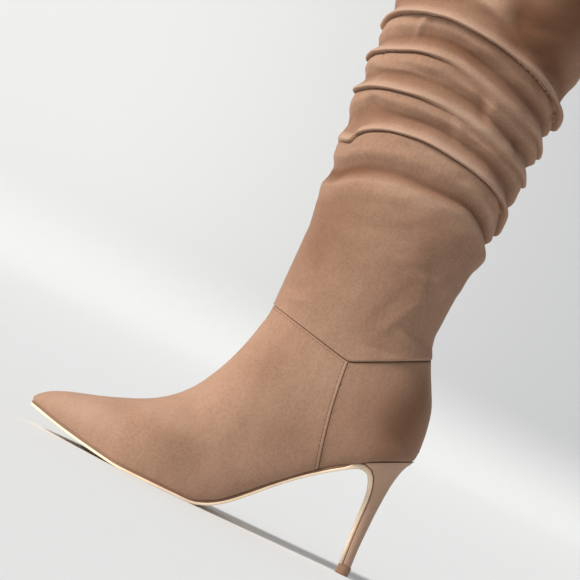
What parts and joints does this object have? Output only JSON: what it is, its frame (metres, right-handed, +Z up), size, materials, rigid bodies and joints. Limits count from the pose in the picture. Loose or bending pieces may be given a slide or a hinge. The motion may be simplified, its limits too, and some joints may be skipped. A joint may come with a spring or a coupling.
{
  "type": "slouch boot",
  "caption": "Left knee-high slouch boot: pointed toe, tall slim heel, V-shaped ankle seam, shaft sagging into folds, concealed zip on the inner side.",
  "frame": {"origin": "middle of the top piece's wearing face, on the floor under the heel", "axes": "+X from heel to toe, +Y to the wearer's left (the outer side of this left boot), +Z up"},
  "size_m": [0.2405, 0.103, 0.455],
  "materials": {
    "upper_suede": "soft matt nap, tan",
    "outsole": "smooth satin, natural",
    "heel_cover": "wrapped in the upper's tan suede",
    "top_piece": "matt, brown",
    "lining": "smooth matt",
    "zip_tape": "woven tape with a concealed coil",
    "zip_metal": "polished, light rose"
  },
  "bodies": {
    "boot": {"upper": "upper_suede", "shaft": "upper_suede", "outsole": "outsole", "heel": "heel_cover", "top_piece": "top_piece", "insole": "lining", "zip_tape": "zip_tape", "zip_slider": "zip_metal"},
    "pull": {"zip_pull": "zip_metal"}
  },
  "joints": [
    {"name": "zip_pull_hinge", "type": "hinge", "parent": "boot", "child": "pull", "pos_m": [0.05846, -0.04241, 0.20135], "axis": [-1, 0, 0], "range_deg": [0, 150]}
  ]
}
